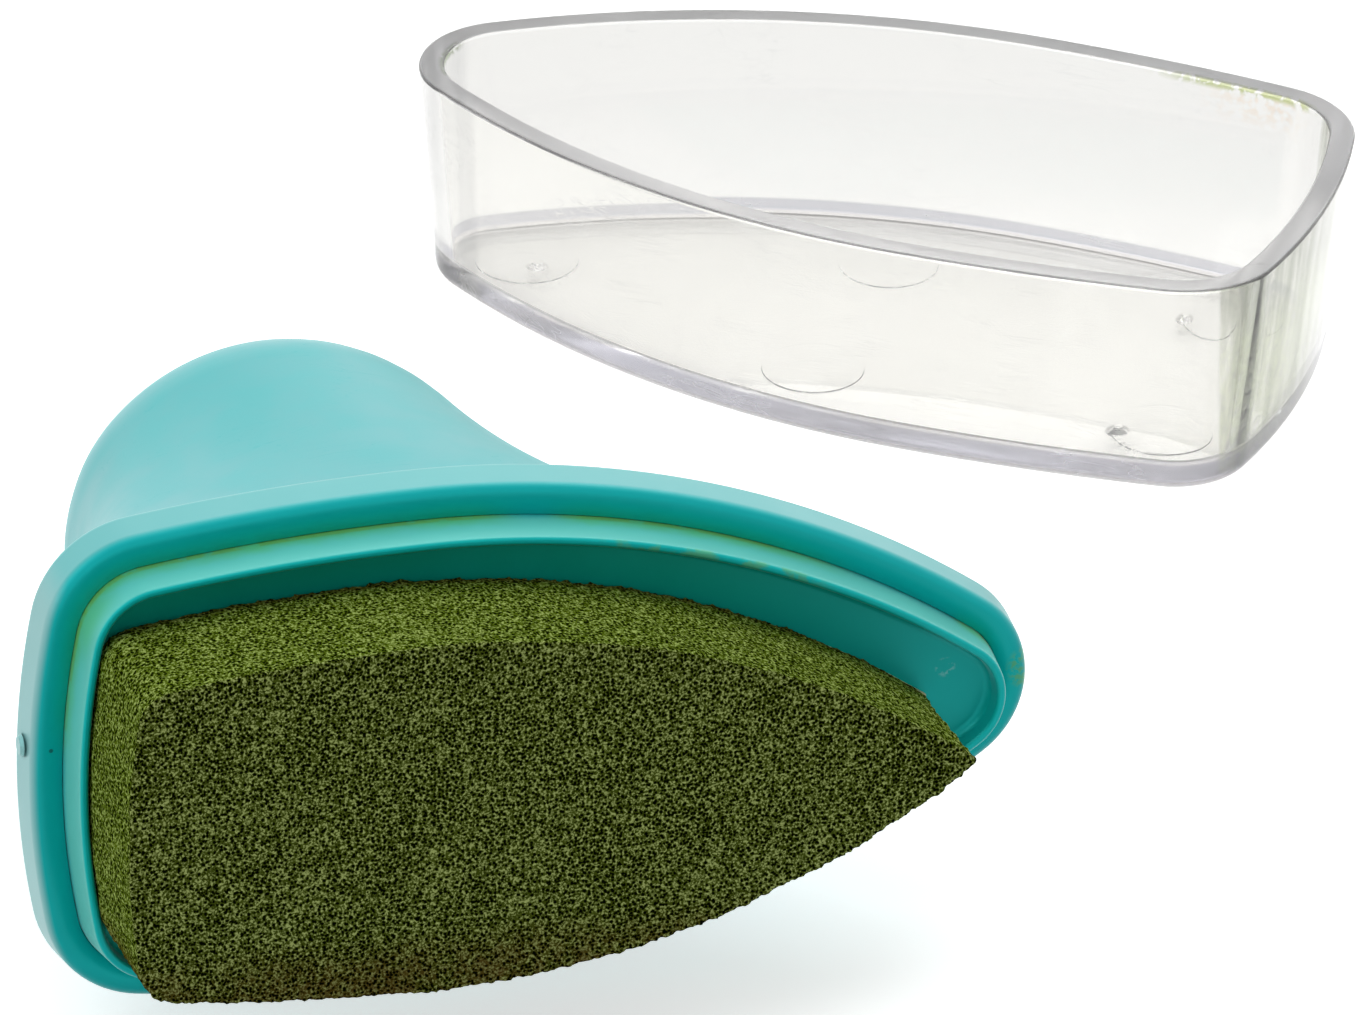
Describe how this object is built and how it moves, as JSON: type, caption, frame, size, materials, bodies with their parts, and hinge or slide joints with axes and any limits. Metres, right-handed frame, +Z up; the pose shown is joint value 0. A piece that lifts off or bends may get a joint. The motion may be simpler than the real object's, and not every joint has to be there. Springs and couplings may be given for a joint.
{
  "type": "ink pad",
  "caption": "Petal-shaped hand-held ink pad: a foam pad in a collared tray on a hollow knob handle, with a clear push-on lid standing beside it.",
  "frame": {"origin": "centre of the bounding box of the pad and its lid, on the table they rest on", "axes": "+Z up, +Y from the pad back to the lid, +X along the lid from its tip to its blunt end"},
  "size_m": [0.0544, 0.1066, 0.0278],
  "materials": {
    "handle_plastic": "moulded turquoise plastic, satin, with faint scuffs and ink specks",
    "tray_plastic": "moulded teal plastic, satin, stained yellow-green along the collar's foot",
    "film": "thin double-sided adhesive film",
    "foam": "open-cell foam soaked in olive-green ink",
    "clear_plastic": "clear moulded polystyrene with fine scratches"
  },
  "bodies": {
    "pad": {"handle_shell": "handle_plastic", "pad_tray": "tray_plastic", "adhesive_film": "film", "ink_pad": "foam"},
    "lid": {"lid": "clear_plastic"}
  },
  "joints": [
    {"name": "lid_lift", "type": "slide", "parent": "pad", "child": "lid", "axis": [0, 0, 1], "range_m": [0, 0.06]}
  ]
}
